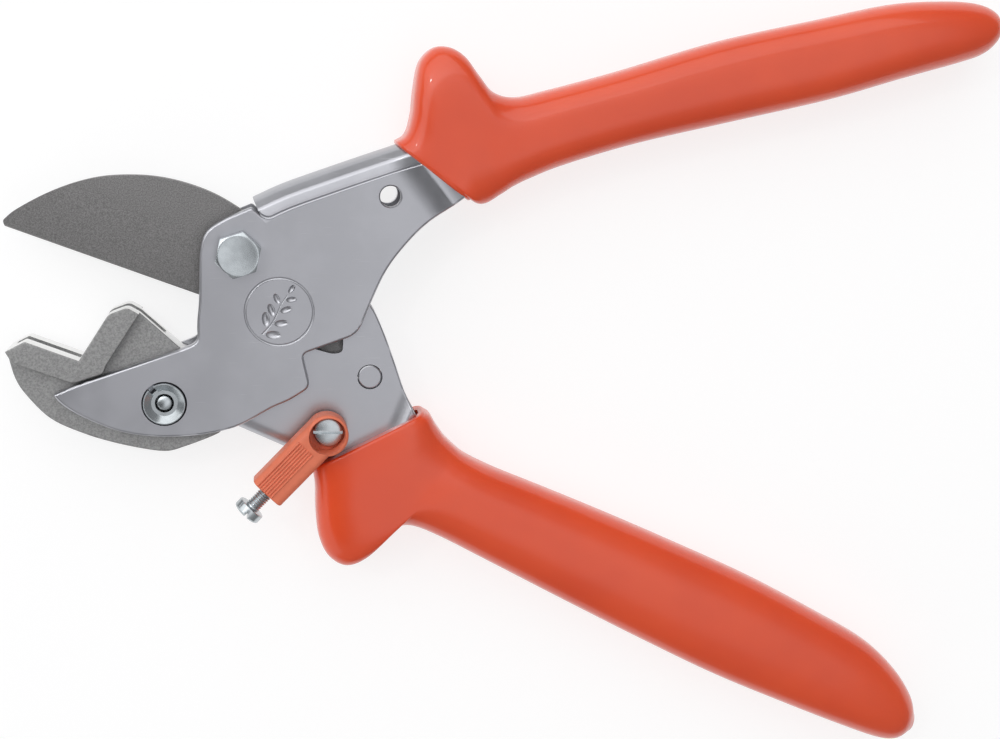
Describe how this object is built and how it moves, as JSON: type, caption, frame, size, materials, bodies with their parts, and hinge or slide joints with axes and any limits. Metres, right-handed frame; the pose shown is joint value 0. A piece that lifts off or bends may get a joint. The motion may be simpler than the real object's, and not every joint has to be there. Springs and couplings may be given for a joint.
{
  "type": "anvil pruner",
  "caption": "Hand pruner standing open: a straight blade on one dipped handle closes into a slotted V anvil on the other, with a swinging latch and a return spring.",
  "frame": {"origin": "centre of the flat tail of the pivot bolt, the lowest point of the pruner as it lies on its back", "axes": "+Z along the pivot bolt from its tail to its head; +X from the jaws to the grips; +Y towards the anvil handle's grip"},
  "size_m": [0.1993, 0.1575, 0.02],
  "materials": {
    "plated_sheet": "bright zinc-plated sheet, satin, with rounded die-cut edges",
    "blade_steel": "matt grey blasted tool steel with a ground edge",
    "anvil_casting": "fine-grained matt grey casting",
    "zinc_fastener": "bright zinc",
    "spring_steel": "dark oiled spring steel",
    "dipped_vinyl": "glossy dip-coated vinyl, orange-red",
    "moulded_latch": "moulded plastic, satin, orange-red"
  },
  "bodies": {
    "anvil_handle": {"anvil_handle_frame": "plated_sheet", "anvil": "anvil_casting", "pivot_bolt": "zinc_fastener", "pivot_bush": "zinc_fastener", "pivot_lock_washer": "zinc_fastener", "pivot_nut": "zinc_fastener", "anvil_sleeve_nut": "zinc_fastener", "anvil_screw": "zinc_fastener", "spring_seat_upper": "spring_steel", "return_spring": "spring_steel", "upper_grip": "dipped_vinyl"},
    "blade_handle": {"blade_handle_frame": "plated_sheet", "blade": "blade_steel", "blade_tang_rivet": "plated_sheet", "spring_seat_lower": "spring_steel", "lower_grip": "dipped_vinyl", "latch_nut": "zinc_fastener", "latch_pivot_screw": "zinc_fastener", "latch_washer": "zinc_fastener"},
    "latch": {"latch_arm": "moulded_latch"},
    "adjuster": {"latch_adjusting_screw": "zinc_fastener"}
  },
  "joints": [
    {"name": "handle_pivot", "type": "hinge", "parent": "anvil_handle", "child": "blade_handle", "pos_m": [0, 0, 0.01], "axis": [0, 0, 1], "range_deg": [0, 38], "stiffness_Nm_per_rad": 0.5, "springref_deg": -34.38, "deforming": ["return_spring"]},
    {"name": "latch_swing", "type": "hinge", "parent": "blade_handle", "child": "latch", "pos_m": [0.0166, -0.0356, 0.0146], "axis": [0, 0, 1], "range_deg": [-36, 0]},
    {"name": "adjusting_screw_travel", "type": "slide", "parent": "latch", "child": "adjuster", "axis": [-0.7071, -0.7071, 0], "range_m": [-0.0024, 0.003]}
  ]
}
